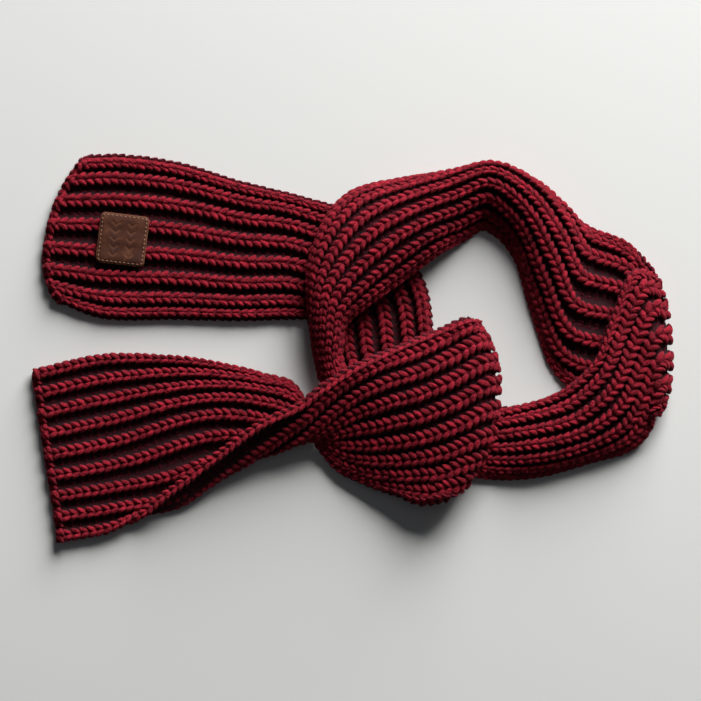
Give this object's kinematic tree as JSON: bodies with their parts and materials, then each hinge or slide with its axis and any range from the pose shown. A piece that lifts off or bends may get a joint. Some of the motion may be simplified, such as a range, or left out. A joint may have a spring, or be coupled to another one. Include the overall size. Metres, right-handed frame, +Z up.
{
  "type": "knit scarf",
  "caption": "Child's chunky rib-knit scarf laid flat in an open loop, crossed and half twisted, with a bare leather patch near one end.",
  "frame": {"origin": "on the table under the middle of the laid scarf's box", "axes": "+Z up off the table, +X from the two ends towards the ring, +Y towards the side where the patched end lies"},
  "size_m": [0.4604, 0.277, 0.0338],
  "materials": {
    "wool": "matt chunky rib knit in burgundy yarn",
    "leather": "matt brown leather, bare"
  },
  "bodies": {
    "root": {"end_patched": "wool", "window_stretch": "wool", "ring_lower": "wool", "loop_over": "wool", "fan_and_plain_end": "wool", "hidden_layers": "wool", "patch": "leather"}
  },
  "joints": []
}
